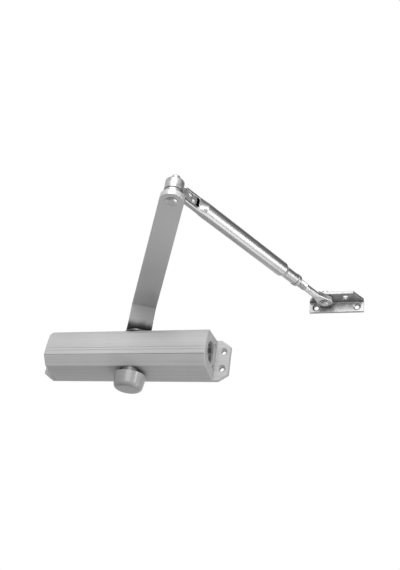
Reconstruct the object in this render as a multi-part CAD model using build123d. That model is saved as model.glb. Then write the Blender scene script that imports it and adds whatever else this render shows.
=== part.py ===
from build123d import *
import math
import os

# Hydraulic door closer with a rack and pinion body and a two-piece arm, in millimetres.
# X runs along the body, +Y points into the door that the body is screwed to and +Z points up along
# the spindle. The origin is the middle of the mounting face. The arm stands as in the photograph.

# Body
body_length = 214.0
body_height = 52.0
body_depth = 46.0  # to the edge along the front, where the bow ends and the lower slope begins
front_edge_height = -9.0
front_top_depth = 43.3
front_top_height = 20.0
top_width = 37.5  # flat top, from the mounting face forwards
front_low_depth = 36.5
front_low_height = -20.5
profile_round = 1.2
end_chamfer = 0.8
groove_width = 1.6
groove_cut = 0.9
line_heights = (0.0, -3.0)
line_width = 0.7
line_cut = 0.35

# Ears of the back flange
flange_thickness = 6.0
ear_length = 18.0
ear_corner_x = 12.0
ear_corner_z = 8.0
screw_overhang = 9.2  # from the end of the body to the screw holes
screw_spacing_z = 22.0
screw_hole_radius = 2.9
screw_sink_radius = 5.2

# Cylinder bore and its two plugs
axis_depth = 23.5  # bore and spindle axis, from the mounting face
bore_radius = 13.5
plug_inset = 2.5
plug_thickness = 14.0
plug_recess_radius = 10.3
plug_recess_depth = 5.0
plug_hex = 10.0  # across the flats
plug_hex_depth = 5.0
ring_section_radius = 1.2
ring_groove_width = 3.0

# Regulating valves
valve_depth = 11.0
valve_spacing_z = 27.0
valve_radius = 3.2
valve_bore_length = 19.0
valve_seat_radius = 1.8
valve_seat_length = 10.0
valve_inset = 1.0
valve_head_length = 14.0
valve_neck_radius = 2.6
valve_neck_length = 2.5
valve_tip_radius = 0.6
valve_tip_length = 6.5
valve_slot_width = 1.2
valve_slot_cut = 1.4
valve_ring_radius = 0.6
valve_ring_inset = 5.0
port_radius = 1.0

# Spindle and pinion
spindle_x = 7.0
journal_radius = 7.0
tooth_module = 1.5
pinion_teeth = 10
pressure_angle = 20.0
pinion_height = 22.0
pinion_addendum = 1.35
pinion_dedendum = 1.15
rack_addendum = 0.85
rack_dedendum = 1.6
tooth_slack = 0.08  # taken off the thickness of each tooth
collar_radius = 8.5
square_size = 10.5
square_length = 5.5
screw_radius = 3.0
screw_length = 15.0

# Bearings, seals and the threaded nuts that hold them
bearing_radius = 10.5
bearing_length = 4.5
nut_radius = 11.5
nut_length = 5.0
nut_flange_radius = 16.5
nut_flange_thickness = 2.5
low_collar_radius = 13.0  # the lower nut has a taller and narrower collar, inside the cap
low_collar_thickness = 4.5
spot_face_height = -21.0  # flat seat of the lower nut in the sloping underside
spot_face_radius = 13.6
nut_bore_radius = 7.3
seal_radius = 9.5
seal_length = 3.0
pin_hole_radius = 1.2
pin_hole_circle = 9.6

# Piston
spindle_range = 170.0  # degrees
piston_wall = 8.0  # between the slot and each end
piston_end_gap = 0.4  # to the right plug, where the piston rests
crown_bore_radius = 9.5
rack_relief = 0.15
slot_end_gap = 1.0
slot_side_gap = 0.7
check_valve_radius = 4.0
check_valve_flange_radius = 6.0
check_valve_flange = 1.5
check_valve_port_radius = 1.2
spring_boss_radius = 8.0
spring_boss_length = 4.0

# Return spring
spring_wire_radius = 2.1
spring_radius = 10.9  # middle of the wire
spring_turns = 8.5
spring_gap = 0.15

# Cap over the lower end of the spindle
cap_radius = 20.0
cap_height = 18.2
cap_gap = 2.0  # under the lowest edge of the body
cap_draft = 9.0  # degrees
cap_edge_radius = 5.5
cap_wall = 2.2
cap_boss_radius = 9.0

# Main arm
arm_length = 259.0  # spindle to elbow
arm_thickness = 5.5
arm_hub_gap = 0.5
arm_hub_radius = 15.5
arm_end_radius = 12.0
arm_rise = 25.0
arm_bend_start = 15.5
arm_bend_run = 13.0
arm_bend_radius = 5.0  # inside of both bends
arm_edge_round = 0.6
arm_washer_radius = 8.5
arm_washer_thickness = 1.6
arm_screw_head_radius = 6.5
arm_screw_head_height = 5.0
arm_screw_hex = 5.0

# Elbow
elbow_pin_radius = 3.5
elbow_head_radius = 5.9
elbow_head_height = 1.4
lower_washer_radius = 9.9
lower_washer_thickness = 2.3
upper_washer_radius = 9.4
upper_washer_thickness = 2.7
knuckle_radius = 9.5
knuckle_height = 13.0
knuckle_round = 2.0
elbow_nut_radius = 4.3
elbow_nut_height = 6.0
elbow_nut_round = 1.2
tongue_thickness = 6.0
tongue_height = 9.5
tongue_reach = 29.0
rivet_radius = 1.5
rivet_head_radius = 2.3
rivet_head_height = 1.1
rivet_places = ((20.0, 1.8), (25.0, -1.8))  # along the forearm and up from its middle

# Forearm tube
forearm_length = 260.5  # elbow to the shoe's pivot
tube_radius = 8.25
tube_wall = 1.5
trough_start = 14.5
trough_end = 32.0
trough_round = 3.5
flare_length = 10.0
neck_start = 174.0
neck_taper = 5.0
neck_radius = 6.4
neck_bore_radius = 5.0
tube_end = 203.0
end_ring_radius = 7.0
end_ring_length = 4.0

# Adjusting rod
rod_inner_end = 160.0
thread_radius = 4.92
thread_end = 219.0
rod_radius = 4.4
eye_radius = 9.5
eye_thickness = 6.4
eye_neck = 16.0  # from the middle of the eye to where the round rod is hammered flat
rod_taper = 5.0
eye_edge_round = 0.8

# Shoe
shoe_distance = 230.819  # along the frame from the spindle to the shoe's pivot
shoe_width = 64.0
shoe_left = 20.0  # from the pivot to the left end
shoe_reach = 24.0  # from the frame to the front edge
shoe_height = 16.0
shoe_thickness = 3.2
shoe_pivot_depth = 14.5
shoe_cut_x = 10.0
shoe_straight = 5.0
shoe_bend_radius = 1.2
shoe_gap = 0.2
shoe_spare_hole_radius = 4.3
shoe_screw_spacing = 48.0
shoe_screw_drop = 9.5
shoe_screw_radius = 2.75
shoe_sink_radius = 4.6
shoe_pin_radius = 3.5
shoe_pin_head_radius = 4.6
shoe_pin_head_height = 5.0
shoe_button_height = 1.5
shoe_washer_radius = 6.5
shoe_washer_thickness = 0.8

# Clearances
running_gap = 0.05  # radial, around what turns or slides
fixed_gap = 0.02  # radial, around what is screwed or pressed in
face_gap = 0.1  # between faces that turn on each other

# Worked out from the sizes above. Heights of what turns with the spindle count from the bore's axis,
# which lies midway between the seats of the two nuts.
half_length = body_length / 2
half_height = body_height / 2
axis_height = (half_height + spot_face_height) / 2
seat_height = half_height - axis_height
front_bulge = body_depth - front_top_depth
front_rise = front_top_height - front_edge_height
front_radius = (front_rise**2 + front_bulge**2) / (2 * front_bulge)
spindle_y = -axis_depth
pitch_radius = tooth_module * pinion_teeth / 2
tooth_pitch = math.pi * tooth_module
tooth_thickness = tooth_pitch / 2 - tooth_slack
piston_travel = pitch_radius * math.radians(spindle_range)
pinion_radius = pitch_radius + pinion_addendum
bearing_top = seat_height - nut_length
bearing_bottom = bearing_top - bearing_length
nut_top = seat_height + nut_flange_thickness
shoulder = nut_top + arm_hub_gap
plug_outer = half_length - plug_inset
plug_inner = plug_outer - plug_thickness
arm_top = shoulder + arm_rise + arm_thickness
knuckle_bottom = arm_top + lower_washer_thickness + upper_washer_thickness + face_gap
knuckle_top = knuckle_bottom + knuckle_height
forearm_height = knuckle_bottom + knuckle_height / 2
eye_top = forearm_height + thread_radius
eye_bottom = eye_top - eye_thickness
shoe_under = eye_top + shoe_gap
shoe_top = shoe_under + shoe_thickness
pivot_x = spindle_x + shoe_distance
pivot_y = -shoe_pivot_depth
linkage_base = math.hypot(shoe_distance, pivot_y - spindle_y)
base_angle = math.atan2(pivot_y - spindle_y, shoe_distance)
spindle_corner = math.acos(
    (arm_length**2 + linkage_base**2 - forearm_length**2) / (2 * arm_length * linkage_base)
)
arm_angle = math.degrees(spindle_corner - base_angle)
elbow_x = spindle_x + arm_length * math.cos(math.radians(arm_angle))
elbow_y = spindle_y - arm_length * math.sin(math.radians(arm_angle))
forearm_angle = math.degrees(math.atan2(pivot_y - elbow_y, pivot_x - elbow_x))
slot_left = spindle_x - pinion_radius - slot_end_gap
slot_right = spindle_x + piston_travel + pinion_radius + slot_end_gap
piston_left = slot_left - piston_wall
piston_right = plug_inner - piston_end_gap
piston_radius = bore_radius - running_gap
crown_bottom = slot_right + piston_wall

# Placed frames: the main arm from the spindle, the forearm from the elbow, the shoe from its pivot
arm_frame = Location((spindle_x, spindle_y, axis_height), (0, 0, -arm_angle))
forearm_frame = Location((elbow_x, elbow_y, axis_height), (0, 0, forearm_angle))
shoe_frame = Location((pivot_x, pivot_y, axis_height))
spindle_frame = Location((spindle_x, spindle_y, axis_height))
bore_frame = Location((0, 0, axis_height))


def upright(radius, low, high):
    """Cylinder on the Z axis between two heights."""
    return Pos(0, 0, (low + high) / 2) * Cylinder(radius, high - low)


def along_x(radius, left, right, y=0.0, z=0.0):
    """Cylinder along X between two places."""
    return Pos((left + right) / 2, y, z) * Rot(0, 90, 0) * Cylinder(radius, right - left)


def block(x_range, y_range, z_range):
    """Box between three pairs of limits."""
    low = (x_range[0], y_range[0], z_range[0])
    high = (x_range[1], y_range[1], z_range[1])
    size = [h - l for l, h in zip(low, high)]
    middle = [(h + l) / 2 for l, h in zip(low, high)]
    return Pos(*middle) * Box(*size)


def turned(points):
    """Solid of revolution about Z from (radius, height) points."""
    outline = Plane.XZ * make_face(Polyline(*points, close=True))
    return revolve(outline, Axis.Z, 360)


def seal_ring(middle_radius, section_radius):
    """Round sealing ring about the X axis."""
    return Rot(0, 90, 0) * Torus(middle_radius, section_radius)


def front_depth(height):
    """Depth of the bowed front at a height."""
    return body_depth - front_radius + math.sqrt(front_radius**2 - (height - front_edge_height) ** 2)


def body_profile():
    """Section of the extrusion: flat back and top, bowed front, lower slope and a sloping underside."""
    line = Polyline(
        (-body_depth, front_edge_height),
        (-front_low_depth, front_low_height),
        (-flange_thickness, -half_height),
        (0, -half_height),
        (0, half_height),
        (-top_width, half_height),
        (-front_top_depth, front_top_height),
    )
    middle = (front_top_height + front_edge_height) / 2
    bow = ThreePointArc(
        (-front_top_depth, front_top_height), (-front_depth(middle), middle), (-body_depth, front_edge_height)
    )
    outline = make_face(line + bow)
    corners = [v for v in outline.vertices() if v.X < -flange_thickness - 0.1 and v.Y > front_low_height - 0.1]
    return fillet(corners, profile_round)


def front_groove(height, width, cut):
    """V groove along the whole front."""
    depth = front_depth(height)
    slope = width / cut / 2
    base = cut + 1
    outline = make_face(
        Polyline(
            (-depth + cut, height),
            (-depth + cut - base, height + base * slope),
            (-depth + cut - base, height - base * slope),
            close=True,
        )
    )
    return extrude(Plane.YZ.offset(-half_length) * outline, body_length)


def ear_plate():
    """Back flange with cut corners that carries the screw holes."""
    end = half_length + ear_length
    outline = Polyline(
        (end, half_height - ear_corner_z),
        (end - ear_corner_x, half_height),
        (-end + ear_corner_x, half_height),
        (-end, half_height - ear_corner_z),
        (-end, -half_height + ear_corner_z),
        (-end + ear_corner_x, -half_height),
        (end - ear_corner_x, -half_height),
        (end, -half_height + ear_corner_z),
        close=True,
    )
    return extrude(Plane.XZ * make_face(outline), flange_thickness)


def screw_hole():
    """Countersunk hole, entered from the front along +Y."""
    sink = screw_sink_radius - screw_hole_radius
    cone = turned(
        [
            (0, 0),
            (screw_hole_radius, 0),
            (screw_hole_radius, flange_thickness - sink),
            (screw_sink_radius, flange_thickness),
            (screw_sink_radius, flange_thickness + 1),
            (0, flange_thickness + 1),
        ]
    )
    return Rot(90, 0, 0) * cone


def valve_drilling():
    """Stepped drilling for one valve, with the port that joins it to the cylinder."""
    step = half_length - valve_bore_length
    drilling = along_x(valve_radius, step, half_length + 1)
    drilling += along_x(valve_seat_radius, step - valve_seat_length, step + 1)
    return drilling


def port(z):
    """Slanted port from a valve seat to the cylinder, clear of the seat's flat end."""
    start = Vector(half_length - valve_bore_length - valve_seat_length + 2 * port_radius, -valve_depth, z)
    end = Vector(start.X, spindle_y, 0)
    way = (end - start).normalized()
    length = (end - start).length - bore_radius / 2
    return bore_frame * Solid.make_cylinder(port_radius, length, Plane(origin=start, z_dir=way))


def closer_body():
    """Extruded housing with the cylinder, the spindle bore, valve drillings and screw holes."""
    shell = extrude(Plane.YZ.offset(-half_length) * body_profile(), body_length)
    ends = shell.faces().filter_by(Axis.X)
    rims = [e for f in ends for e in f.edges() if e.center().Y < -1]
    shell = chamfer(rims, end_chamfer)
    shell = shell + ear_plate()
    shell -= front_groove(front_edge_height, groove_width, groove_cut)
    for height in line_heights:
        shell -= front_groove(height, line_width, line_cut)
    shell -= along_x(bore_radius, -half_length - 1, half_length + 1, spindle_y, axis_height)
    shell -= spindle_frame * upright(pinion_radius + slot_side_gap, -seat_height - 1, seat_height + 1)
    shell -= spindle_frame * upright(spot_face_radius, -body_height, -seat_height)
    for side in (1, -1):
        low, high = sorted((side * bearing_bottom, side * (seat_height + 1)))
        shell -= spindle_frame * upright(bearing_radius, low, high)
        low, high = sorted((side * bearing_top, side * (seat_height + 1)))
        shell -= spindle_frame * upright(nut_radius, low, high)
        valve_z = side * valve_spacing_z / 2
        shell -= Pos(0, -valve_depth, axis_height + valve_z) * valve_drilling()
        shell -= port(valve_z)
        for end in (1, -1):
            place = Pos(end * (half_length + screw_overhang), 0, side * screw_spacing_z / 2)
            shell -= place * screw_hole()
    return shell


def end_plug():
    """Right cylinder plug with a round recess, a hexagon socket and a ring groove."""
    plug = along_x(bore_radius - fixed_gap, plug_inner, plug_outer, spindle_y)
    plug -= along_x(plug_recess_radius, plug_outer - plug_recess_depth, plug_outer + 1, spindle_y)
    socket_bottom = plug_outer - plug_recess_depth - plug_hex_depth
    hexagon = RegularPolygon(plug_hex / 2, 6, major_radius=False)
    socket = extrude(Plane.YZ.offset(socket_bottom) * hexagon, plug_hex_depth + 1)
    plug -= Pos(0, spindle_y, 0) * socket
    middle = plug_inner + ring_groove_width
    groove = along_x(bore_radius, middle - ring_groove_width / 2, middle + ring_groove_width / 2)
    groove -= along_x(ring_seat_radius(), middle - ring_groove_width, middle + ring_groove_width)
    return plug - Pos(0, spindle_y, 0) * groove


def ring_seat_radius():
    """Bottom of the grooves that hold the rings of the cylinder bore."""
    return bore_radius - 2 * ring_section_radius - 2 * running_gap


def bore_ring(x):
    """Sealing ring of the cylinder bore at a place along X."""
    middle_radius = bore_radius - running_gap - ring_section_radius
    return Pos(x, spindle_y, 0) * seal_ring(middle_radius, ring_section_radius)


def valve_screw():
    """Regulating screw with a slot, a ring groove and a tapered tip, about the X axis."""
    head = valve_radius - running_gap - fixed_gap
    outer = half_length - valve_inset
    neck = outer - valve_head_length
    cone = neck - valve_neck_length
    tip = cone - valve_tip_length
    ring_low = outer - valve_ring_inset - 1.5 * valve_ring_radius
    ring_high = outer - valve_ring_inset + 1.5 * valve_ring_radius
    seat = head - 2 * valve_ring_radius - running_gap
    outline = Polyline(
        (tip, 0),
        (tip, valve_tip_radius),
        (cone, valve_seat_radius),
        (cone, valve_neck_radius),
        (neck, valve_neck_radius),
        (neck, head),
        (ring_low, head),
        (ring_low, seat),
        (ring_high, seat),
        (ring_high, head),
        (outer, head),
        (outer, 0),
        close=True,
    )
    screw = revolve(make_face(outline), Axis.X, 360)
    half_slot = valve_slot_width / 2
    slot = block((outer - valve_slot_cut, outer + 1), (-valve_radius, valve_radius), (-half_slot, half_slot))
    return screw - slot


def valve_ring():
    """Small sealing ring on a regulating screw."""
    middle_radius = valve_radius - running_gap - fixed_gap - valve_ring_radius
    return Pos(half_length - valve_inset - valve_ring_inset, 0, 0) * seal_ring(middle_radius, valve_ring_radius)


def bearing_nut(flange_radius, flange_thickness):
    """Flanged nut that closes the spindle bore, with a seal pocket and two holes for a pin key."""
    outer = nut_radius - fixed_gap
    seal_top = bearing_top + seal_length + face_gap
    top = seat_height + flange_thickness
    nut = turned(
        [
            (seal_radius, bearing_top),
            (outer, bearing_top),
            (outer, seat_height),
            (flange_radius, seat_height),
            (flange_radius, top),
            (nut_bore_radius, top),
            (nut_bore_radius, seal_top),
            (seal_radius, seal_top),
        ]
    )
    for side in (1, -1):
        hole = upright(pin_hole_radius, seat_height, top + 1)
        nut -= Pos(side * pin_hole_circle, 0, 0) * hole
    return nut


def bearing():
    """Needle bearing shell."""
    outer = upright(bearing_radius - fixed_gap, bearing_bottom, bearing_top)
    return outer - upright(journal_radius + running_gap, bearing_bottom - 1, bearing_top + 1)


def spindle_seal():
    """Lip seal in the nut's pocket."""
    outer = upright(seal_radius - fixed_gap, bearing_top, bearing_top + seal_length)
    return outer - upright(journal_radius + running_gap, bearing_top - 1, bearing_top + seal_length + 1)


def involute(angle):
    """Involute of an angle in radians."""
    return math.tan(angle) - angle


def pinion_tooth_half_angle(radius):
    """Half the angle that a tooth takes up at a radius."""
    base_radius = pitch_radius * math.cos(math.radians(pressure_angle))
    at_pitch = tooth_thickness / 2 / pitch_radius
    at_base = at_pitch + involute(math.radians(pressure_angle))
    if radius <= base_radius:
        return at_base
    return at_base - involute(math.acos(base_radius / radius))


def pinion_outline():
    """Closed outline of the pinion, one tooth pointing along +Y."""
    root = pitch_radius - pinion_dedendum
    base = pitch_radius * math.cos(math.radians(pressure_angle))
    steps = 4
    radii = [base + (pinion_radius - base) * i / steps for i in range(steps + 1)]
    step_angle = 2 * math.pi / pinion_teeth

    def point(radius, angle):
        return (radius * math.sin(angle), radius * math.cos(angle))

    edges = []
    for tooth in range(pinion_teeth):
        middle = tooth * step_angle
        rising = [point(r, middle - pinion_tooth_half_angle(r)) for r in radii]
        falling = [point(r, middle + pinion_tooth_half_angle(r)) for r in reversed(radii)]
        root_half = pinion_tooth_half_angle(root)
        foot_in = point(root, middle - root_half)
        foot_out = point(root, middle + root_half)
        next_foot = point(root, middle + step_angle - root_half)
        edges += [
            Line(foot_in, rising[0]),
            Spline(*rising),
            ThreePointArc(rising[-1], point(pinion_radius, middle), falling[0]),
            Spline(*falling),
            Line(falling[-1], foot_out),
            ThreePointArc(foot_out, point(root, middle + step_angle / 2), next_foot),
        ]
    return make_face(Wire(edges))


def spindle_pinion():
    """Spindle with the pinion in the middle, journals, and a square with a screw hole at both ends."""
    half = pinion_height / 2
    collar_start = half + 2 * rack_relief
    collar_end = bearing_bottom - face_gap
    core_radius = pitch_radius - pinion_dedendum
    end = shoulder + square_length
    shaft = turned(
        [
            (0, half),
            (core_radius, half),
            (core_radius, collar_start),
            (collar_radius, collar_start),
            (collar_radius, collar_end),
            (journal_radius, collar_end),
            (journal_radius, end),
            (screw_radius, end),
            (screw_radius, end - screw_length),
            (0, end - screw_length),
        ]
    )
    square = block((-square_size / 2, square_size / 2), (-square_size / 2, square_size / 2), (shoulder, end + 1))
    shaft -= upright(journal_radius + 1, shoulder, end + 1) - Rot(0, 0, -arm_angle) * square
    spindle = Pos(0, 0, -half) * extrude(pinion_outline(), pinion_height)
    spindle += [shaft, mirror(shaft, Plane.XY)]
    return spindle_frame * spindle


def rack_opening():
    """Opening in the piston for the pinion, with the rack teeth along its back."""
    tip = spindle_y + pitch_radius - rack_addendum
    root = spindle_y + pitch_radius + rack_dedendum
    front = spindle_y - pinion_radius - slot_side_gap
    slope = math.tan(math.radians(pressure_angle))
    tip_half = tooth_thickness / 2 - rack_addendum * slope
    root_half = tooth_thickness / 2 + rack_dedendum * slope
    points = [(slot_left, front), (slot_left, root)]
    first = math.ceil((slot_left + root_half - spindle_x) / tooth_pitch - 0.5)
    last = math.floor((slot_right - root_half - spindle_x) / tooth_pitch - 0.5)
    for tooth in range(first, last + 1):
        middle = spindle_x + (tooth + 0.5) * tooth_pitch
        points.append((middle - root_half, root))
        points.append((middle - tip_half, tip))
        points.append((middle + tip_half, tip))
        points.append((middle + root_half, root))
    points.append((slot_right, root))
    points.append((slot_right, front))
    opening = extrude(make_face(Polyline(*points, close=True)), bore_radius, both=True)
    half = pinion_height / 2 + rack_relief
    for side in (1, -1):
        low, high = sorted((side * half, side * bore_radius))
        opening += block((slot_left, slot_right), (front, root), (low, high))
    return opening


def rack_piston():
    """Piston with the rack, a hollow crown, a ring groove and a boss that centres the spring."""
    piston = along_x(piston_radius, piston_left, piston_right, spindle_y)
    piston += along_x(spring_boss_radius, piston_left - spring_boss_length, piston_left + 1, spindle_y)
    piston -= rack_opening()
    piston -= along_x(crown_bore_radius, crown_bottom, piston_right + 1, spindle_y)
    piston -= along_x(check_valve_radius, slot_right - 1, crown_bottom + 1, spindle_y)
    middle = piston_ring_x()
    groove = along_x(bore_radius, middle - ring_groove_width / 2, middle + ring_groove_width / 2)
    groove -= along_x(ring_seat_radius(), middle - ring_groove_width, middle + ring_groove_width)
    return piston - Pos(0, spindle_y, 0) * groove


def piston_ring_x():
    """Place of the piston's ring, over the solid wall between the slot and the crown."""
    return crown_bottom - piston_wall / 2


def piston_check_valve():
    """Flanged check valve body in the crown wall."""
    start = slot_right + face_gap
    valve = along_x(check_valve_radius - fixed_gap, start, crown_bottom + 1, spindle_y)
    valve += along_x(check_valve_flange_radius, crown_bottom, crown_bottom + check_valve_flange, spindle_y)
    return valve - along_x(check_valve_port_radius, start - 1, crown_bottom + check_valve_flange + 1, spindle_y)


def return_spring():
    """Round-wire spring between the left plug and the piston."""
    left = -plug_inner + spring_wire_radius + spring_gap
    right = piston_left - spring_wire_radius - spring_gap
    pitch = (right - left) / spring_turns
    coil = Helix(pitch=pitch, height=right - left, radius=spring_radius)
    section = Plane(origin=coil @ 0, z_dir=coil % 0) * Circle(spring_wire_radius)
    spring = sweep(section, coil)
    return Pos(left, spindle_y, 0) * Rot(0, 90, 0) * spring


def spindle_cap():
    """Moulded cap with a tapered side, a rounded edge and an inner boss on the square end."""
    rim = -half_height - cap_gap - axis_height
    base = rim - cap_height
    base_radius = cap_radius - cap_height * math.tan(math.radians(cap_draft))
    outer = turned([(0, rim), (cap_radius, rim), (base_radius, base), (0, base)])
    outer = fillet(outer.edges().filter_by(GeomType.CIRCLE).sort_by(Axis.Z)[0], cap_edge_radius)
    inner_base = base + cap_wall
    inner_low = base_radius - cap_wall
    inner = turned([(0, rim + 1), (cap_radius - cap_wall, rim + 1), (inner_low, inner_base), (0, inner_base)])
    inner = fillet(inner.edges().filter_by(GeomType.CIRCLE).sort_by(Axis.Z)[0], cap_edge_radius - cap_wall)
    cap = outer - inner
    boss_top = -seat_height - low_collar_thickness - arm_hub_gap
    cap += upright(cap_boss_radius, inner_base - 0.5, boss_top)
    pocket_bottom = -shoulder - square_length - face_gap
    pocket = block(
        (-square_size / 2 - fixed_gap, square_size / 2 + fixed_gap),
        (-square_size / 2 - fixed_gap, square_size / 2 + fixed_gap),
        (pocket_bottom, boss_top + 1),
    )
    pocket &= upright(journal_radius + fixed_gap, pocket_bottom, boss_top + 1)
    return spindle_frame * Rot(0, 0, -arm_angle) * (cap - pocket)


def main_arm():
    """Flat arm with a double bend beside the spindle, a square hole and a tapering outline."""
    low = shoulder
    high = shoulder + arm_rise
    slope = math.atan2(arm_rise, arm_bend_run)
    shift = arm_thickness * math.tan(slope / 2)
    bend_end = arm_bend_start + arm_bend_run
    far = arm_length + 2 * arm_end_radius
    near = -2 * arm_hub_radius
    outer = arm_bend_radius + arm_thickness
    side = FilletPolyline(
        (near, low),
        (arm_bend_start, low),
        (bend_end, high),
        (far, high),
        (far, high + arm_thickness),
        (bend_end - shift, high + arm_thickness),
        (arm_bend_start - shift, low + arm_thickness),
        (near, low + arm_thickness),
        radius=[0, outer, arm_bend_radius, 0, 0, outer, arm_bend_radius, 0],
        close=True,
    )
    strip = extrude(Plane.XZ * make_face(side), 2 * arm_hub_radius, both=True)
    circles = [Circle(arm_hub_radius).edge(), (Pos(arm_length, 0) * Circle(arm_end_radius)).edge()]
    plan = extrude(Pos(0, 0, low - 1) * make_hull(circles), arm_rise + arm_thickness + 2)
    arm = strip & plan
    half = square_size / 2 + fixed_gap
    arm -= block((-half, half), (-half, half), (low - 1, low + arm_thickness + 1))
    arm -= Pos(arm_length, 0, 0) * upright(elbow_pin_radius + fixed_gap, high - 1, high + arm_thickness + 1)
    return arm_frame * arm


def arm_screw():
    """Socket head screw in the spindle's end."""
    seat = shoulder + arm_thickness + arm_washer_thickness
    top = seat + arm_screw_head_height
    shank_bottom = shoulder + square_length - screw_length + 1
    screw = upright(arm_screw_head_radius, seat, top)
    screw = chamfer(screw.edges().filter_by(GeomType.CIRCLE).sort_by(Axis.Z)[-1], 0.6)
    screw += upright(screw_radius - fixed_gap, shank_bottom, seat + 1)
    hexagon = RegularPolygon(arm_screw_hex / 2, 6, major_radius=False)
    screw -= extrude(Pos(0, 0, top - arm_screw_head_height * 0.6) * hexagon, arm_screw_head_height)
    return spindle_frame * screw


def washer(radius, hole_radius, low, high):
    """Flat washer about Z."""
    return upright(radius, low, high) - upright(hole_radius, low - 1, high + 1)


def elbow_pin():
    """Pin with a low domed head under the arm."""
    under = shoulder + arm_rise
    head = turned(
        [
            (0, under),
            (elbow_head_radius, under),
            (elbow_head_radius, under - elbow_head_height / 3),
            (elbow_head_radius * 0.7, under - elbow_head_height),
            (0, under - elbow_head_height),
        ]
    )
    pin = head + upright(elbow_pin_radius, under - 0.1, knuckle_top + elbow_nut_height / 2)
    return Pos(arm_length, 0, 0) * pin


def elbow_nut():
    """Round end on the elbow pin that keeps the knuckle on."""
    low = knuckle_top + face_gap
    nut = upright(elbow_nut_radius, low, knuckle_top + elbow_nut_height)
    nut = fillet(nut.edges().filter_by(GeomType.CIRCLE).sort_by(Axis.Z)[-1], elbow_nut_round)
    nut -= upright(elbow_pin_radius, low - 1, knuckle_top + elbow_nut_height / 2)
    return Pos(arm_length, 0, 0) * nut


def elbow_knuckle():
    """Forged knuckle: a round hub with an upright tongue."""
    hub = upright(knuckle_radius, knuckle_bottom, knuckle_top)
    hub = fillet(hub.edges().filter_by(GeomType.CIRCLE).sort_by(Axis.Z)[-1], knuckle_round)
    half = tongue_height / 2
    tongue = block(
        (0, tongue_reach),
        (-tongue_thickness / 2, tongue_thickness / 2),
        (forearm_height - half, forearm_height + half),
    )
    tongue = fillet(tongue.edges().filter_by(Axis.Y).sort_by(Axis.X)[-2:], half * 0.6)
    knuckle = hub + tongue
    knuckle -= upright(elbow_pin_radius + running_gap, knuckle_bottom - 1, knuckle_top + 1)
    for along, up in rivet_places:
        knuckle -= rivet_bar(along, up, rivet_radius + fixed_gap, tongue_thickness)
    return knuckle


def rivet_bar(along, up, radius, reach):
    """Cylinder across the forearm at a rivet's place."""
    return Pos(along, 0, forearm_height + up) * Rot(90, 0, 0) * Cylinder(radius, 2 * reach)


def knuckle_rivets():
    """Two rivets through the tongue and the flattened tube, domed on both sides."""
    front = -tongue_thickness / 2
    back = tongue_thickness / 2 + tube_wall
    rivets = []
    for along, up in rivet_places:
        shank = block((-rivet_radius, rivet_radius), (front, back), (-rivet_radius, rivet_radius))
        shank &= Rot(90, 0, 0) * Cylinder(rivet_radius, 4 * tongue_thickness)
        head = turned(
            [
                (0, 0),
                (rivet_head_radius, 0),
                (rivet_head_radius * 0.75, rivet_head_height * 0.7),
                (rivet_head_radius * 0.3, rivet_head_height),
                (0, rivet_head_height),
            ]
        )
        rivet = shank + Pos(0, front, 0) * Rot(90, 0, 0) * head + Pos(0, back, 0) * Rot(-90, 0, 0) * head
        rivets.append(Pos(along, 0, forearm_height + up) * rivet)
    return Compound(rivets)


def tube_section(x, half_width, half_tall, corner):
    """Rounded rectangle across the forearm at a distance from the elbow."""
    plane = Plane(origin=(x, 0, forearm_height), x_dir=(0, 1, 0), z_dir=(1, 0, 0))
    return plane * RectangleRounded(2 * half_width, 2 * half_tall, corner)


def tube_skin(inset):
    """Outer or inner form of the forearm: flattened at the elbow, round from there on."""
    wide = tongue_thickness / 2 + tube_wall - inset
    tall = tube_radius - inset
    start = trough_start - inset
    flat = tube_section(start, wide, tall, trough_round - inset)
    form = extrude(flat, trough_end - start)
    plane = Plane(origin=(trough_end + flare_length, 0, forearm_height), x_dir=(0, 1, 0), z_dir=(1, 0, 0))
    flare = loft([tube_section(trough_end, wide, tall, trough_round - inset), plane * Circle(tall)])
    return form + flare + along_x(tall, trough_end + flare_length, neck_start, 0, forearm_height)


def forearm_tube():
    """Steel tube: open trough at the elbow, round in the middle, reduced at the far end."""
    tube = tube_skin(0.0)
    neck_full = neck_start + neck_taper
    reduction = Rot(0, 90, 0) * Cone(tube_radius, neck_radius, neck_taper)
    tube += Pos(neck_start + neck_taper / 2, 0, forearm_height) * reduction
    tube += along_x(neck_radius, neck_full, tube_end, 0, forearm_height)
    tube -= tube_skin(tube_wall)
    tube -= along_x(neck_bore_radius, neck_start - 1, tube_end + 1, 0, forearm_height)
    side = -tongue_thickness / 2
    tube -= block(
        (trough_start - 1, trough_end),
        (-2 * tube_radius, side),
        (forearm_height - tube_radius - 1, forearm_height + tube_radius + 1),
    )
    for along, up in rivet_places:
        tube -= rivet_bar(along, up, rivet_radius + fixed_gap, tube_radius)
    return tube


def tube_end_ring():
    """Ring pressed over the reduced end."""
    ring = along_x(end_ring_radius, tube_end - end_ring_length, tube_end, 0, forearm_height)
    return ring - along_x(neck_radius + fixed_gap, 0, forearm_length, 0, forearm_height)


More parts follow.
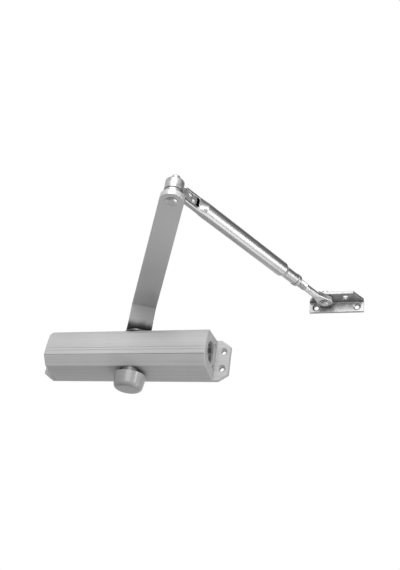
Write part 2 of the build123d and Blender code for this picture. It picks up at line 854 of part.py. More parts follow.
def adjusting_rod():
    """Rod that runs in the tube, ending in a flattened eye."""
    rod = along_x(thread_radius, rod_inner_end, thread_end, 0, forearm_height)
    neck_x = forearm_length - eye_neck
    rod += along_x(rod_radius, thread_end - 1, neck_x + rod_radius, 0, forearm_height)
    under = forearm_height - tube_radius
    hammered = make_face(
        Polyline(
            (neck_x - rod_taper, forearm_height - rod_radius),
            (neck_x, eye_bottom),
            (forearm_length, eye_bottom),
            (forearm_length, under),
            (neck_x - rod_taper, under),
            close=True,
        )
    )
    rod -= extrude(Plane.XZ * hammered, tube_radius, both=True)
    circles = [
        (Pos(neck_x, 0) * Circle(rod_radius)).edge(),
        (Pos(forearm_length, 0) * Circle(eye_radius)).edge(),
    ]
    eye = extrude(Pos(0, 0, eye_bottom) * make_hull(circles), eye_thickness)
    rims = eye.faces().filter_by(Axis.Z).edges()
    rod += fillet(rims, eye_edge_round)
    hole = upright(shoe_pin_radius + running_gap, forearm_height - eye_radius, forearm_height + eye_radius)
    return rod - Pos(forearm_length, 0, 0) * hole


def shoe_bracket():
    """Angle bracket: a level leg with two pivot holes and an upright leg with two screw holes."""
    under = shoe_under
    top = shoe_top
    back = shoe_pivot_depth
    front = back - shoe_reach
    bottom = top - shoe_height
    inner = shoe_bend_radius
    outer = shoe_bend_radius + shoe_thickness
    side = FilletPolyline(
        (front, top),
        (back, top),
        (back, bottom),
        (back - shoe_thickness, bottom),
        (back - shoe_thickness, under),
        (front, under),
        radius=[0, outer, 0, 0, inner, 0],
        close=True,
    )
    right = shoe_width - shoe_left
    angle = extrude(Plane.YZ.offset(-shoe_left) * make_face(side), shoe_width)
    plan = make_face(
        Polyline(
            (-shoe_left, back + 1),
            (-shoe_left, back - shoe_straight),
            (-shoe_left + shoe_cut_x, front),
            (right - shoe_cut_x, front),
            (right, back - shoe_straight),
            (right, back + 1),
            close=True,
        )
    )
    angle &= extrude(Pos(0, 0, bottom - 1) * plan, shoe_height + 2)
    angle -= upright(shoe_pin_radius + fixed_gap, under - 1, top + 1)
    spare_x = shoe_width - 2 * shoe_left
    angle -= Pos(spare_x, 0, 0) * upright(shoe_spare_hole_radius, under - 1, top + 1)
    sink = shoe_sink_radius - shoe_screw_radius
    hole = turned(
        [
            (0, -1),
            (shoe_screw_radius, -1),
            (shoe_screw_radius, shoe_thickness - sink),
            (shoe_sink_radius, shoe_thickness),
            (shoe_sink_radius, shoe_thickness + 1),
            (0, shoe_thickness + 1),
        ]
    )
    for side_sign in (1, -1):
        x = shoe_width / 2 - shoe_left + side_sign * shoe_screw_spacing / 2
        angle -= Pos(x, back, top - shoe_screw_drop) * Rot(90, 0, 0) * hole
    return shoe_frame * angle


def shoe_pin():
    """Pivot pin with a round head on the bracket and a low button under the eye."""
    top = shoe_top
    under = eye_bottom - face_gap - shoe_washer_thickness
    head = upright(shoe_pin_head_radius, top, top + shoe_pin_head_height)
    head = chamfer(head.edges().filter_by(GeomType.CIRCLE).sort_by(Axis.Z)[-1], 0.7)
    button = upright(shoe_pin_head_radius, under - shoe_button_height, under)
    button = fillet(button.edges().filter_by(GeomType.CIRCLE).sort_by(Axis.Z)[0], shoe_button_height * 0.7)
    return shoe_frame * (head + button + upright(shoe_pin_radius, under - 0.5, top + 0.5))


def shoe_pin_washer():
    """Washer between the eye and the pin's button."""
    high = eye_bottom - face_gap
    hole = shoe_pin_radius + fixed_gap
    return shoe_frame * washer(shoe_washer_radius, hole, high - shoe_washer_thickness, high)


upside_down = spindle_frame * Rot(180, 0, 0) * spindle_frame.inverse()
left_side = Plane.YZ
upper_valve = bore_frame * Pos(0, -valve_depth, valve_spacing_z / 2)
lower_valve = bore_frame * Pos(0, -valve_depth, -valve_spacing_z / 2)
upper_nut = bearing_nut(nut_flange_radius, nut_flange_thickness)
lower_nut = bearing_nut(low_collar_radius, low_collar_thickness)
elbow_place = arm_frame * Pos(arm_length, 0, 0)
washer_step = arm_top + lower_washer_thickness
pin_hole = elbow_pin_radius + fixed_gap
arm_seat = shoulder + arm_thickness

pieces = {
    "closer_body": closer_body(),
    "right_end_plug": bore_frame * end_plug(),
    "left_end_plug": bore_frame * mirror(end_plug(), left_side),
    "right_plug_ring": bore_frame * bore_ring(plug_inner + ring_groove_width),
    "left_plug_ring": bore_frame * bore_ring(-plug_inner - ring_groove_width),
    "closing_speed_valve": upper_valve * valve_screw(),
    "closing_valve_ring": upper_valve * valve_ring(),
    "latching_speed_valve": lower_valve * valve_screw(),
    "latching_valve_ring": lower_valve * valve_ring(),
    "upper_bearing": spindle_frame * bearing(),
    "lower_bearing": upside_down * (spindle_frame * bearing()),
    "upper_bearing_nut": spindle_frame * upper_nut,
    "lower_bearing_nut": upside_down * (spindle_frame * lower_nut),
    "upper_spindle_seal": spindle_frame * spindle_seal(),
    "lower_spindle_seal": upside_down * (spindle_frame * spindle_seal()),
    "spindle_pinion": spindle_pinion(),
    "rack_piston": bore_frame * rack_piston(),
    "piston_check_valve": bore_frame * piston_check_valve(),
    "piston_ring": bore_frame * bore_ring(piston_ring_x()),
    "return_spring": bore_frame * return_spring(),
    "spindle_cap": spindle_cap(),
    "main_arm": main_arm(),
    "arm_screw": arm_screw(),
    "arm_screw_washer": spindle_frame
    * washer(arm_washer_radius, screw_radius, arm_seat, arm_seat + arm_washer_thickness),
    "elbow_pin": arm_frame * elbow_pin(),
    "elbow_nut": arm_frame * elbow_nut(),
    "lower_elbow_washer": elbow_place * washer(lower_washer_radius, pin_hole, arm_top, washer_step),
    "upper_elbow_washer": elbow_place
    * washer(upper_washer_radius, pin_hole, washer_step, washer_step + upper_washer_thickness),
    "elbow_knuckle": forearm_frame * elbow_knuckle(),
    "knuckle_rivets": forearm_frame * knuckle_rivets(),
    "forearm_tube": forearm_frame * forearm_tube(),
    "tube_end_ring": forearm_frame * tube_end_ring(),
    "adjusting_rod": forearm_frame * adjusting_rod(),
    "shoe_bracket": shoe_bracket(),
    "shoe_pin": shoe_pin(),
    "shoe_pin_washer": shoe_pin_washer(),
}

os.makedirs("parts", exist_ok=True)
for name, shape in pieces.items():
    export_step(shape, f"parts/{name}.step")

print("elbow", round(elbow_x, 3), round(elbow_y, 3))
print("pivot", round(pivot_x, 3), round(pivot_y, 3), "height", round(forearm_height + axis_height, 3))
print("forearm angle", round(forearm_angle, 3), "travel", round(piston_travel, 3))
print("shoe top", round(shoe_top + axis_height, 3), "spring end", round(-plug_inner + spring_gap, 3))
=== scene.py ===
import math

import bmesh
import bpy
from mathutils import Matrix, Vector


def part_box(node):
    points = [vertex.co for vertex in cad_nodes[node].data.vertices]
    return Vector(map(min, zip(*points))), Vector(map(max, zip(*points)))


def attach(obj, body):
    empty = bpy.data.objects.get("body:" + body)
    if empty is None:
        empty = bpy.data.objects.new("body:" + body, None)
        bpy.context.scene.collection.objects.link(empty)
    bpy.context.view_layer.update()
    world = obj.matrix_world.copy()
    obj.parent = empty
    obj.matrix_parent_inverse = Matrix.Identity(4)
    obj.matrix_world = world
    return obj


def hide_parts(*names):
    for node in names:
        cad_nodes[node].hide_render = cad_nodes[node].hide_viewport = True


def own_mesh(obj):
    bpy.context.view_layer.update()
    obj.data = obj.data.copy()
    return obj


# A surface-mounted hydraulic door closer with its two-piece arm, seen from below and from the right.
# Metres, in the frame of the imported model: X along the body, +Y into the door, +Z up the spindle.
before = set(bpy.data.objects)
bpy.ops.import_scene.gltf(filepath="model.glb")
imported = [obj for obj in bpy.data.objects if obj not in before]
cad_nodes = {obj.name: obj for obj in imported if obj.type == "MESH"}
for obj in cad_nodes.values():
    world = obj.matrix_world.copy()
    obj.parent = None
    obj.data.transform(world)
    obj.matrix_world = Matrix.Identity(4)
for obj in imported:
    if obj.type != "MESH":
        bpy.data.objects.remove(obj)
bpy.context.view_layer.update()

# Camera. It looks up at the closer from below, a little from the right and slightly rolled, from
# nearly a metre away. The picture is 400 by 570 pixels and the focal length is given in them.
picture_width = 400
picture_height = 570
camera_turn = math.radians(22.048)
camera_rise = math.radians(28.746)
camera_roll = math.radians(8.658)
camera_distance = 0.9
camera_target = Vector((0.065753, 0.0, 0.10742))
focal_pixels = 684.929
centre_x = 196.03
centre_y = 287.158
sensor_mm = 36.0
nearest_seen = 0.05

look = Vector((-math.sin(camera_turn) * math.cos(camera_rise),
               math.cos(camera_turn) * math.cos(camera_rise),
               math.sin(camera_rise)))
level_right = Vector((math.cos(camera_turn), math.sin(camera_turn), 0.0))
level_up = level_right.cross(look)
right = level_right * math.cos(camera_roll) + level_up * math.sin(camera_roll)
up = level_up * math.cos(camera_roll) - level_right * math.sin(camera_roll)

camera_data = bpy.data.cameras.new("photo_camera")
camera_data.sensor_width = sensor_mm
camera_data.lens = focal_pixels * sensor_mm / picture_height
camera_data.shift_x = (picture_width / 2 - centre_x) / picture_height
camera_data.shift_y = (centre_y - picture_height / 2) / picture_height
camera_data.clip_start = nearest_seen
camera = bpy.data.objects.new("photo_camera", camera_data)
turn = Matrix((right, up, -look)).transposed().to_4x4()
camera.matrix_world = Matrix.Translation(camera_target - look * camera_distance) @ turn
bpy.context.scene.collection.objects.link(camera)
bpy.context.scene.camera = camera
bpy.context.scene.view_settings.view_transform = "Standard"

# Studio. A white surround that lights the piece softly, a large soft lamp in front, two narrow ones on the
# right, one low behind that reaches the undersides, and a pale floor well under it. Round metal mirrors a
# grey card on the right along its upper side, and what faces the camera mirrors a black card behind it.
white = (1.0, 1.0, 1.0, 1.0)
seen_strength = 1.0
surround_strength = 0.3
lamp_aim = Vector((0.06, -0.08, 0.03))
lamps = {
    "front_lamp": {"place": (0.35, -1.35, 0.42), "width": 1.0, "height": 1.0, "power": 20.0},
    "right_strip": {"place": (1.3, 0.15, -0.32), "width": 0.2, "height": 0.8, "power": 3.5},
    "cap_strip": {"place": (1.2, -0.47, 0.2), "width": 0.05, "height": 0.5, "power": 5.0},
    "low_lamp": {"place": (0.55, 0.3, -0.95), "width": 0.6, "height": 0.6, "power": 3.0},
}
cards = {
    "right_card": {"place": (0.99, 0.22, 0.78), "half": 0.8, "colour": (0.3, 0.3, 0.3, 1.0)},
    "camera_card": {"place": (0.62, -1.0, -0.55), "half": 0.4, "colour": (0.04, 0.04, 0.04, 1.0)},
}
floor_height = -1.3
floor_half = 1.2
floor_colour = (0.8, 0.8, 0.8, 1.0)
sheet_roughness = 0.9

world = bpy.data.worlds.new("white_surround")
world.use_nodes = True
bpy.context.scene.world = world
nodes = world.node_tree.nodes
links = world.node_tree.links
seen = nodes["Background"]
seen.inputs["Color"].default_value = white
seen.inputs["Strength"].default_value = seen_strength
lighting = nodes.new("ShaderNodeBackground")
lighting.inputs["Color"].default_value = white
lighting.inputs["Strength"].default_value = surround_strength
path = nodes.new("ShaderNodeLightPath")
either = nodes.new("ShaderNodeMath")
either.operation = "MAXIMUM"
links.new(path.outputs["Is Camera Ray"], either.inputs[0])
links.new(path.outputs["Is Transmission Ray"], either.inputs[1])
any_seen = nodes.new("ShaderNodeMath")
any_seen.operation = "MAXIMUM"
links.new(either.outputs[0], any_seen.inputs[0])
links.new(path.outputs["Is Glossy Ray"], any_seen.inputs[1])
choice = nodes.new("ShaderNodeMixShader")
links.new(any_seen.outputs[0], choice.inputs["Fac"])
links.new(lighting.outputs[0], choice.inputs[1])
links.new(seen.outputs[0], choice.inputs[2])
links.new(choice.outputs[0], nodes["World Output"].inputs["Surface"])

for lamp_name, lamp_sizes in lamps.items():
    lamp_data = bpy.data.lights.new(lamp_name, "AREA")
    lamp_data.shape = "RECTANGLE"
    lamp_data.size = lamp_sizes["width"]
    lamp_data.size_y = lamp_sizes["height"]
    lamp_data.energy = lamp_sizes["power"]
    lamp = bpy.data.objects.new(lamp_name, lamp_data)
    lamp.location = lamp_sizes["place"]
    lamp.rotation_euler = (lamp.location - lamp_aim).to_track_quat("Z", "Y").to_euler()
    lamp.visible_camera = False
    bpy.context.scene.collection.objects.link(lamp)


def studio_sheet(name, half, colour):
    """Matt square sheet of the studio, facing up."""
    corners = [(-half, -half, 0), (half, -half, 0), (half, half, 0), (-half, half, 0)]
    mesh = bpy.data.meshes.new(name)
    mesh.from_pydata(corners, [], [(0, 1, 2, 3)])
    sheet = bpy.data.objects.new(name, mesh)
    bpy.context.scene.collection.objects.link(sheet)
    material = bpy.data.materials.new(name)
    material.use_nodes = True
    shader = material.node_tree.nodes["Principled BSDF"]
    shader.inputs["Base Color"].default_value = colour
    shader.inputs["Roughness"].default_value = sheet_roughness
    mesh.materials.append(material)
    return sheet


floor = studio_sheet("floor", floor_half, floor_colour)
floor.location = (0.0, 0.0, floor_height)
for card_name, card_sizes in cards.items():
    card = studio_sheet(card_name, card_sizes["half"], card_sizes["colour"])
    card.location = card_sizes["place"]
    card.rotation_euler = (lamp_aim - card.location).to_track_quat("Z", "Y").to_euler()
    card.visible_camera = False


# Closer body. One length of extruded aluminium with its flat back flange, cut to length, bored from end
# to end and sprayed silver grey. The die leaves fine lines along it, and the paint thins on its edges.
noise_middle = 0.5


def new_group(name, given_sockets, made_sockets):
    """Node group with named sockets, with its input and output sockets."""
    group = bpy.data.node_groups.new(name, "ShaderNodeTree")
    for socket_name, kind, value in given_sockets:
        socket = group.interface.new_socket(name=socket_name, in_out="INPUT",
                                            socket_type="NodeSocket" + kind)
        socket.default_value = value
    for socket_name, kind in made_sockets:
        group.interface.new_socket(name=socket_name, in_out="OUTPUT", socket_type="NodeSocket" + kind)
    return group, group.nodes.new("NodeGroupInput").outputs, group.nodes.new("NodeGroupOutput").inputs


def fill(tree, socket, value):
    """Give a socket a number, or link another socket to it."""
    if isinstance(value, bpy.types.NodeSocket):
        tree.links.new(value, socket)
    else:
        socket.default_value = value


def place_node(tree, kind, sockets=None, **settings):
    """Node with its settings made and its sockets filled."""
    node = tree.nodes.new("ShaderNode" + kind)
    for key, value in settings.items():
        setattr(node, key, value)
    for key, value in (sockets or {}).items():
        fill(tree, node.inputs[key], value)
    return node


def work_out(tree, operation, first, second=0.0):
    """Result of a math node."""
    return place_node(tree, "Math", {0: first, 1: second}, operation=operation).outputs[0]


def noise(tree, vector, scale, detail=2.0, roughness=0.5):
    """Noise about zero, from -0.5 to 0.5."""
    node = place_node(tree, "TexNoise", {"Vector": vector, "Scale": scale, "Detail": detail,
                                         "Roughness": roughness})
    return work_out(tree, "SUBTRACT", node.outputs["Fac"], noise_middle)


def ramp(tree, value, low, high):
    """Smooth step of a value between two limits."""
    node = place_node(tree, "MapRange", {"Value": value, "From Min": low, "From Max": high},
                      interpolation_type="SMOOTHSTEP")
    return node.outputs["Result"]


def mix_colours(tree, factor, first, second):
    """Blend of two colours."""
    node = place_node(tree, "Mix", {"Factor": factor}, data_type="RGBA")
    fill(tree, node.inputs["A"], first)
    fill(tree, node.inputs["B"], second)
    return node.outputs["Result"]


bevel_samples = 6
occlusion_samples = 8
# Each pair holds the values at which a mask starts and is full.
worn_bends = (0.01, 0.16)
worn_patches = (-0.16, 0.1)
outer_edges = (0.6, 0.9)
shaded_dirty_corners = (0.1, 0.75)


def edge_group():
    """Node group: worn outer edges, dirty corners and gaps with painted shade, and a softening normal."""
    group, given, made = new_group("edges and corners", (
        ("Edge Width", "Float", 0.0006), ("Corner Width", "Float", 0.002), ("Patch Scale", "Float", 120.0),
    ), (("Edge", "Float"), ("Corner", "Float"), ("Normal", "Vector")))
    geometry = place_node(group, "NewGeometry")
    place = place_node(group, "TexCoord")
    softened = place_node(group, "Bevel", {"Radius": given["Edge Width"]}, samples=bevel_samples)
    dot = place_node(group, "VectorMath", {0: softened.outputs[0], 1: geometry.outputs["Normal"]},
                     operation="DOT_PRODUCT")
    bend = work_out(group, "SUBTRACT", 1.0, dot.outputs["Value"])
    occlusion = place_node(group, "AmbientOcclusion", {"Distance": given["Corner Width"]},
                           samples=occlusion_samples)
    patches = noise(group, place.outputs["Object"], given["Patch Scale"], detail=4.0, roughness=0.7)
    worn = work_out(group, "MULTIPLY", ramp(group, bend, *worn_bends), ramp(group, patches, *worn_patches))
    outer = ramp(group, occlusion.outputs["AO"], *outer_edges)
    fill(group, made["Edge"], work_out(group, "MULTIPLY", worn, outer))
    # Corners and gaps that the occlusion finds are darkened, both as dirty places and as painted shade.
    closed_in = work_out(group, "SUBTRACT", 1.0, occlusion.outputs["AO"])
    fill(group, made["Corner"], ramp(group, closed_in, *shaded_dirty_corners))
    fill(group, made["Normal"], softened.outputs[0])
    return group


corner_dust = 0.2


def finish_group():
    """Node group: clouds, drawn or turned lines, fine grain, worn edges and dark corners on one finish."""
    group, given, made = new_group("finish", (
        ("Color", "Color", (0.5, 0.5, 0.5, 1.0)), ("Second Color", "Color", (0.4, 0.4, 0.4, 1.0)),
        ("Edge Color", "Color", (0.6, 0.6, 0.6, 1.0)), ("Corner Color", "Color", (0.1, 0.1, 0.1, 1.0)),
        ("Roughness", "Float", 0.4), ("Roughness Change", "Float", 0.1),
        ("Cloud Scale", "Float", 40.0), ("Cloud Strength", "Float", 1.0),
        ("Line Vector", "Vector", (0.0, 0.0, 0.0)), ("Line Strength", "Float", 0.5),
        ("Grain Scale", "Float", 2500.0), ("Grain Strength", "Float", 0.5),
        ("Edge", "Float", 0.0), ("Edge Strength", "Float", 0.6),
        ("Corner", "Float", 0.0), ("Corner Strength", "Float", 0.6),
    ), (("Color", "Color"), ("Roughness", "Float"), ("Height", "Float")))
    place = place_node(group, "TexCoord").outputs["Object"]
    cloud_noise = noise(group, place, given["Cloud Scale"], detail=4.0, roughness=0.6)
    cloud = work_out(group, "MULTIPLY", cloud_noise, given["Cloud Strength"])
    line_noise = noise(group, given["Line Vector"], 1.0, detail=3.0, roughness=0.65)
    lines = work_out(group, "MULTIPLY", line_noise, given["Line Strength"])
    grain_noise = noise(group, place, given["Grain Scale"])
    grain = work_out(group, "MULTIPLY", grain_noise, given["Grain Strength"])
    fine = work_out(group, "ADD", lines, grain)
    shade = work_out(group, "ADD", cloud, fine)
    blend = place_node(group, "Clamp", {"Value": work_out(group, "ADD", shade, noise_middle)}).outputs[0]
    plain = mix_colours(group, blend, given["Second Color"], given["Color"])
    edge = work_out(group, "MULTIPLY", given["Edge"], given["Edge Strength"])
    corner = work_out(group, "MULTIPLY", given["Corner"], given["Corner Strength"])
    worn = mix_colours(group, edge, plain, given["Edge Color"])
    fill(group, made["Color"], mix_colours(group, corner, worn, given["Corner Color"]))
    change = work_out(group, "MULTIPLY", shade, given["Roughness Change"])
    uneven = work_out(group, "ADD", given["Roughness"], change)
    dust = work_out(group, "MULTIPLY", corner, corner_dust)
    fill(group, made["Roughness"], work_out(group, "ADD", uneven, dust))
    fill(group, made["Height"], fine)
    return group


edges_and_corners = edge_group()
finish = finish_group()


def finish_material(name, values, lines, bump_mm, metallic=0.0, edge_mm=0.5, corner_mm=2.0, darkening=None):
    """Material from the finish group; lines(tree, place) gives the vector of its drawn or turned lines, and
    darkening(tree, place) a mask of where it is darker than in the corners."""
    material = bpy.data.materials.new(name)
    material.use_nodes = True
    tree = material.node_tree
    shader = tree.nodes["Principled BSDF"]
    place = place_node(tree, "TexCoord").outputs["Object"]
    edges = place_node(tree, "Group", node_tree=edges_and_corners)
    edges.inputs["Edge Width"].default_value = edge_mm / 1000
    edges.inputs["Corner Width"].default_value = corner_mm / 1000
    surface = place_node(tree, "Group", node_tree=finish)
    fill(tree, surface.inputs["Edge"], edges.outputs["Edge"])
    # Corners, gaps and the extra mask take the corner colour: dirty places and painted shade.
    dirt_and_shade = edges.outputs["Corner"]
    if darkening:
        dirt_and_shade = work_out(tree, "MAXIMUM", dirt_and_shade, darkening(tree, place))
    fill(tree, surface.inputs["Corner"], dirt_and_shade)
    fill(tree, surface.inputs["Line Vector"], lines(tree, place))
    for key, value in values.items():
        surface.inputs[key].default_value = (*value, 1.0) if isinstance(value, tuple) else value
    bump = place_node(tree, "Bump", {"Distance": bump_mm / 1000, "Height": surface.outputs["Height"],
                                     "Normal": edges.outputs["Normal"]})
    tree.links.new(surface.outputs["Color"], shader.inputs["Base Color"])
    tree.links.new(surface.outputs["Roughness"], shader.inputs["Roughness"])
    tree.links.new(bump.outputs[0], shader.inputs["Normal"])
    shader.inputs["Metallic"].default_value = metallic
    return material


def dress(material, *names):
    """Give a material to CAD nodes, in the slots of their objects."""
    for name in names:
        for slot in cad_nodes[name].material_slots:
            slot.link = "OBJECT"
            slot.material = material


def drawn_group():
    """Node group: coordinates turned along a piece and stretched, so that noise becomes drawn lines."""
    group, given, made = new_group("drawn lines", (
        ("Vector", "Vector", (0.0, 0.0, 0.0)), ("Turn", "Vector", (0.0, 0.0, 0.0)),
        ("Changes per Metre", "Vector", (1.0, 1.0, 1.0)),
    ), (("Vector", "Vector"),))
    aligned = place_node(group, "Mapping", {"Vector": given["Vector"], "Rotation": given["Turn"]},
                         vector_type="TEXTURE")
    stretched = place_node(group, "VectorMath", {0: aligned.outputs[0], 1: given["Changes per Metre"]},
                           operation="MULTIPLY")
    fill(group, made["Vector"], stretched.outputs[0])
    return group


drawn_lines = drawn_group()


def drawn(along, across, turned_degrees=0.0):
    """Lines along a level direction: how often they change along it and across it, per metre."""
    sizes = {"Turn": (0.0, 0.0, math.radians(turned_degrees)), "Changes per Metre": (along, across, across)}

    def lines(tree, place):
        stretched = place_node(tree, "Group", {"Vector": place, **sizes}, node_tree=drawn_lines)
        return stretched.outputs["Vector"]
    return lines


end_facing = (0.6, 0.8)
saw_marks = (1.0, 900.0, 60.0)  # changes per metre along X, Y and Z
end_patch_scale = 220.0
end_patch_limits = (-0.2, 0.2)
end_patch_share = 0.4
end_darker_share = 0.25


def at_cut_end(tree):
    """Mask of what faces along the body, as its two sawn ends do."""
    normal = place_node(tree, "TexCoord").outputs["Normal"]
    facing = place_node(tree, "SeparateXYZ", {0: normal}).outputs["X"]
    return ramp(tree, work_out(tree, "ABSOLUTE", facing), *end_facing)


def extrusion_lines(tree, place):
    """Die lines along the body on its long faces and saw marks across its two ends."""
    long_lines = drawn(along=3.0, across=520.0)(tree, place)
    saw_lines = place_node(tree, "VectorMath", {0: place, 1: saw_marks}, operation="MULTIPLY").outputs[0]
    chosen = place_node(tree, "Mix", {"Factor": at_cut_end(tree), "A": long_lines, "B": saw_lines},
                        data_type="VECTOR")
    return chosen.outputs["Result"]


def darker_cut_ends(tree, place):
    """Darker colour on the two sawn ends, over all of them and more in patches."""
    patch_noise = noise(tree, place, end_patch_scale, detail=4.0, roughness=0.7)
    patches = work_out(tree, "MULTIPLY", ramp(tree, patch_noise, *end_patch_limits), end_patch_share)
    share = work_out(tree, "ADD", patches, end_darker_share)
    return work_out(tree, "MULTIPLY", share, at_cut_end(tree))


body_paint = finish_material(
    "body silver paint",
    {"Color": (0.51, 0.51, 0.51), "Second Color": (0.38, 0.38, 0.38), "Edge Color": (0.49, 0.49, 0.48),
     "Corner Color": (0.12, 0.12, 0.12), "Roughness": 0.68, "Roughness Change": 0.15,
     "Cloud Scale": 18.0, "Cloud Strength": 0.7, "Line Strength": 2.2, "Grain Scale": 3500.0,
     "Grain Strength": 0.8},
    extrusion_lines, bump_mm=0.012, metallic=0.35, darkening=darker_cut_ends)
dress(body_paint, "closer_body")


# End plugs. Turned steel discs screwed into both ends of the bore, left as they come from the lathe, each
# sealed by a black rubber ring in a groove.
metres_per_radian = 0.001  # the marks change little around the axis


def turned_group():
    """Node group: distance from an axis, angle and height, so that noise becomes turning marks."""
    group, given, made = new_group("turning marks", (
        ("Vector", "Vector", (0.0, 0.0, 0.0)), ("Centre", "Vector", (0.0, 0.0, 0.0)),
        ("Tilt", "Vector", (0.0, 0.0, 0.0)), ("Marks per Metre", "Float", 1.0),
    ), (("Vector", "Vector"),))
    centred = place_node(group, "Mapping", {"Vector": given["Vector"], "Location": given["Centre"],
                                            "Rotation": given["Tilt"]}, vector_type="TEXTURE")
    parts = place_node(group, "SeparateXYZ", {0: centred.outputs[0]})
    flat = place_node(group, "CombineXYZ", {"X": parts.outputs["X"], "Y": parts.outputs["Y"]})
    radius = place_node(group, "VectorMath", {0: flat.outputs[0]}, operation="LENGTH").outputs["Value"]
    angle = work_out(group, "ARCTAN2", parts.outputs["Y"], parts.outputs["X"])
    around = work_out(group, "MULTIPLY", angle, metres_per_radian)
    joined = place_node(group, "CombineXYZ", {"X": radius, "Y": around, "Z": parts.outputs["Z"]})
    stretched = place_node(group, "VectorMath", {0: joined.outputs[0], "Scale": given["Marks per Metre"]},
                           operation="SCALE")
    fill(group, made["Vector"], stretched.outputs[0])
    return group


turning_marks = turned_group()


def turned(centre, axis="Z", marks=2600.0):
    """Turning marks about an axis through a centre."""
    tilt = {"Z": (0.0, 0.0, 0.0), "X": (0.0, math.pi / 2, 0.0)}[axis]
    sizes = {"Centre": tuple(centre), "Tilt": tilt, "Marks per Metre": marks}

    def lines(tree, place):
        wound = place_node(tree, "Group", {"Vector": place, **sizes}, node_tree=turning_marks)
        return wound.outputs["Vector"]
    return lines


def middle(name):
    """Middle of a CAD node's box."""
    low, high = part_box(name)
    return (Vector(low) + Vector(high)) / 2


turned_steel_look = {
    "Color": (0.46, 0.46, 0.46), "Second Color": (0.32, 0.32, 0.32), "Edge Color": (0.7, 0.7, 0.7),
    "Corner Color": (0.05, 0.05, 0.05), "Roughness": 0.32, "Roughness Change": 0.25, "Cloud Scale": 160.0,
    "Cloud Strength": 0.5, "Line Strength": 1.4, "Grain Scale": 5000.0, "Grain Strength": 0.3,
    "Corner Strength": 0.9,
}
plug_steel = finish_material("turned steel plug", turned_steel_look,
                             turned(middle("right_end_plug"), axis="X"), bump_mm=0.01, metallic=1.0,
                             edge_mm=0.3)
dress(plug_steel, "right_end_plug", "left_end_plug")


def no_lines(tree, place):
    """Plain coordinates, for a surface without lines."""
    return place


seal_rubber = finish_material(
    "black seal rubber",
    {"Color": (0.03, 0.03, 0.03), "Second Color": (0.015, 0.015, 0.015), "Edge Color": (0.05, 0.05, 0.05),
     "Corner Color": (0.01, 0.01, 0.01), "Roughness": 0.6, "Roughness Change": 0.2, "Cloud Scale": 300.0,
     "Grain Scale": 4000.0, "Grain Strength": 0.8, "Line Strength": 0.0},
    no_lines, bump_mm=0.01, edge_mm=0.2)
dress(seal_rubber, "right_plug_ring", "left_plug_ring")

# Regulating valves. Two small turned steel needle screws in the right end face, with a slot for a
# screwdriver, that throttle the oil for closing and latching, each with its sealing ring. Their colour is
# painted near white, a painted highlight on their heads in the shaded holes, with little corner shade.
valve_highlight_look = {**turned_steel_look, "Color": (0.9, 0.9, 0.9), "Second Color": (0.7, 0.7, 0.7),
                    "Corner Strength": 0.2}
valves_and_rings = {
    "closing_speed_valve": "closing_valve_ring",
    "latching_speed_valve": "latching_valve_ring",
}
for valve, ring in valves_and_rings.items():
    valve_steel = finish_material(valve + " steel", valve_highlight_look,
                                  turned(middle(valve), axis="X", marks=4000.0), bump_mm=0.006,
                                  metallic=1.0, edge_mm=0.2)
    dress(valve_steel, valve)
    dress(seal_rubber, ring)

# Spindle. A hardened steel shaft with its pinion teeth cut in the middle and a square at each end. It
# comes dark from hardening, and its journals are ground.
spindle_centre = middle("spindle_pinion")
spindle_steel = finish_material(
    "hardened steel",
    {"Color": (0.42, 0.42, 0.42), "Second Color": (0.26, 0.26, 0.27), "Edge Color": (0.62, 0.62, 0.62),
     "Corner Color": (0.05, 0.05, 0.05), "Roughness": 0.3, "Roughness Change": 0.25, "Cloud Scale": 90.0,
     "Line Strength": 1.0, "Grain Scale": 4000.0, "Grain Strength": 0.3},
    turned(spindle_centre), bump_mm=0.008, metallic=1.0, edge_mm=0.3)
dress(spindle_steel, "spindle_pinion")

# Needle bearings and seals. Drawn steel cups pressed over the journals above and below the pinion, with
# a black lip seal beside each.
bearing_steel = finish_material(
    "drawn bearing steel",
    {"Color": (0.58, 0.58, 0.58), "Second Color": (0.48, 0.48, 0.48), "Edge Color": (0.7, 0.7, 0.7),
     "Corner Color": (0.08, 0.08, 0.08), "Roughness": 0.22, "Roughness Change": 0.15, "Cloud Scale": 200.0,
     "Line Strength": 0.8, "Grain Scale": 5000.0, "Grain Strength": 0.2},
    turned(spindle_centre), bump_mm=0.005, metallic=1.0, edge_mm=0.2)
dress(bearing_steel, "upper_bearing", "lower_bearing")
dress(seal_rubber, "upper_spindle_seal", "lower_spindle_seal")

# Bearing nuts. Round steel nuts screwed in over both bearings, with pin holes for their key. Their dull
# zinc plating is darker than the body's paint.
nut_zinc = finish_material(
    "dull zinc nut",
    {"Color": (0.13, 0.13, 0.13), "Second Color": (0.07, 0.07, 0.07), "Edge Color": (0.3, 0.3, 0.3),
     "Corner Color": (0.02, 0.02, 0.02), "Roughness": 0.45, "Roughness Change": 0.2, "Cloud Scale": 140.0,
     "Line Strength": 1.0, "Grain Scale": 4000.0, "Grain Strength": 0.4, "Corner Strength": 0.9},
    turned(spindle_centre), bump_mm=0.008, metallic=1.0, edge_mm=0.3)
dress(nut_zinc, "upper_bearing_nut", "lower_bearing_nut")

